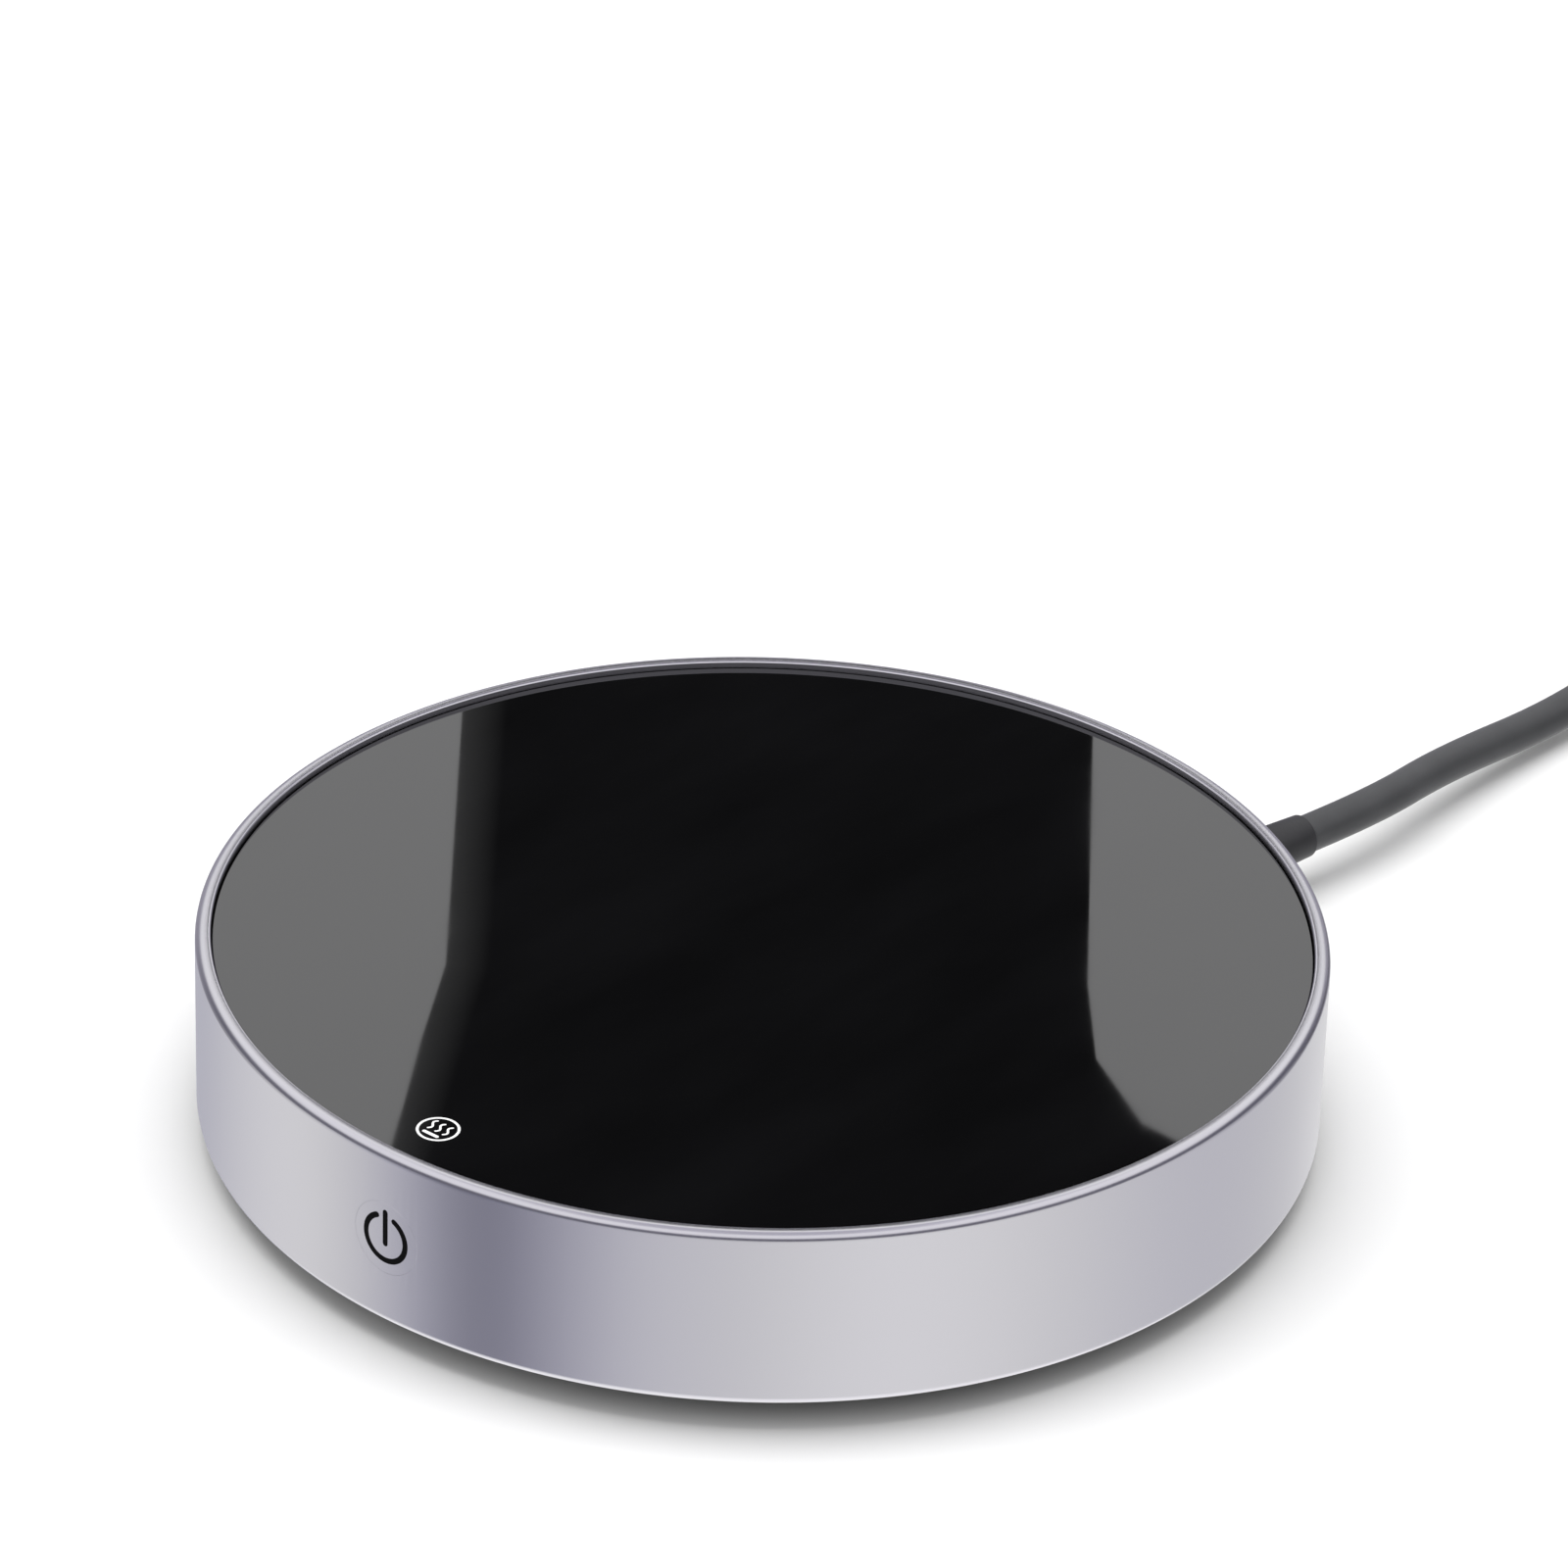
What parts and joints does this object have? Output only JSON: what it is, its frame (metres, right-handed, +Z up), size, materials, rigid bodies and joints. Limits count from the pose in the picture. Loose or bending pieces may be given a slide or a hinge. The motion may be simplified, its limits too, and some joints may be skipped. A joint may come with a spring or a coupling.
{
  "type": "electric mug warmer",
  "caption": "Round electric mug warmer with a black glass heating plate in a metal casing, a power button in its side and a mains cord wound up beside it.",
  "frame": {"origin": "on the table, in the middle under the casing's four feet", "axes": "+Z up through the heating plate, -Y towards the power button, +X to the right of someone who faces the button"},
  "size_m": [0.1585, 0.2836, 0.025],
  "materials": {
    "casing_metal": "satin anodised",
    "black_glass": "polished",
    "glass_mark": "printed",
    "wall_mark": "filled engraving",
    "cover_plastic": "fine texture",
    "chassis_plastic": "moulded",
    "foot_rubber": "matte",
    "screw_steel": "zinc plated",
    "spring_steel": "drawn wire",
    "plate_aluminium": "mill finish",
    "element_mica": "mica sheet",
    "insulation_felt": "pressed fibre",
    "carrier_metal": "die cast",
    "clear_plastic": "clear",
    "sensor_ceramic": "ceramic",
    "board_laminate": "solder mask",
    "part_black": "moulded epoxy",
    "part_grey": "moulded",
    "part_blue": "dipped epoxy",
    "part_sleeve": "shrunk sleeve",
    "fuse_ceramic": "ceramic tube",
    "resistor_body": "lacquer",
    "switch_plastic": "moulded",
    "switch_button": "moulded",
    "wire_red": "silicone sleeve",
    "wire_white": "silicone sleeve",
    "wire_grey": "ribbon",
    "cord_sheath": "smooth sheath",
    "plug_plastic": "moulded",
    "tie_plastic": "moulded strap",
    "blade_metal": "nickel plated"
  },
  "bodies": {
    "base": {"outer_casing": "casing_metal", "chassis": "chassis_plastic", "tact_switch_case": "switch_plastic", "button_board": "board_laminate", "indicator_led": "clear_plastic", "bottom_cover": "cover_plastic", "rubber_feet": "foot_rubber", "cover_screws": "screw_steel", "plate_springs": "spring_steel", "circuit_board": "board_laminate", "board_screws": "screw_steel", "microswitch_case": "switch_plastic", "line_fuse": "fuse_ceramic", "resistors": "resistor_body", "electrolytic_capacitor": "part_sleeve", "film_capacitor": "part_grey", "varistor": "part_blue", "triac": "part_black", "control_chip": "part_black", "heater_leads": "wire_white", "sensor_leads": "wire_red", "button_cable": "wire_grey", "mains_leads": "wire_white", "strain_relief": "plug_plastic", "cord_tail": "cord_sheath", "cord_clamp": "chassis_plastic", "clamp_screws": "screw_steel", "cord": "cord_sheath", "cord_coil": "cord_sheath", "cord_tie": "tie_plastic", "plug_body": "plug_plastic", "plug_blades": "blade_metal"},
    "heating_plate": {"glass_plate": "black_glass", "heat_symbol": "glass_mark", "heat_spreader": "plate_aluminium", "heating_element": "element_mica", "insulation_pad": "insulation_felt", "plate_carrier": "carrier_metal", "light_guide": "clear_plastic", "guide_screws": "screw_steel", "thermistor": "sensor_ceramic", "thermal_fuse": "blade_metal"},
    "microswitch_plunger": {"microswitch_plunger": "switch_button"},
    "power_button": {"power_button": "casing_metal", "power_symbol": "wall_mark"},
    "tact_switch_stem": {"tact_switch_stem": "switch_button"}
  },
  "joints": [
    {"name": "plate_float", "type": "slide", "parent": "base", "child": "heating_plate", "axis": [0, 0, -1], "range_m": [0, 0.0008], "stiffness_N_per_m": 2000, "springref_m": -0.0012, "deforming": ["plate_springs", "heater_leads", "sensor_leads"]},
    {"name": "microswitch_press", "type": "slide", "parent": "base", "child": "microswitch_plunger", "axis": [0, 0, -1], "range_m": [0, 0.0008]},
    {"name": "button_press", "type": "slide", "parent": "base", "child": "power_button", "axis": [0, 1, 0], "range_m": [0, 0.0005], "stiffness_N_per_m": 3000, "springref_m": -0.0002},
    {"name": "tact_press", "type": "slide", "parent": "base", "child": "tact_switch_stem", "axis": [0, 1, 0], "range_m": [0, 0.0005]}
  ],
  "couplings": [
    {"joint": "microswitch_press", "follows": "plate_float", "ratio": 1},
    {"joint": "tact_press", "follows": "button_press", "ratio": 1}
  ]
}
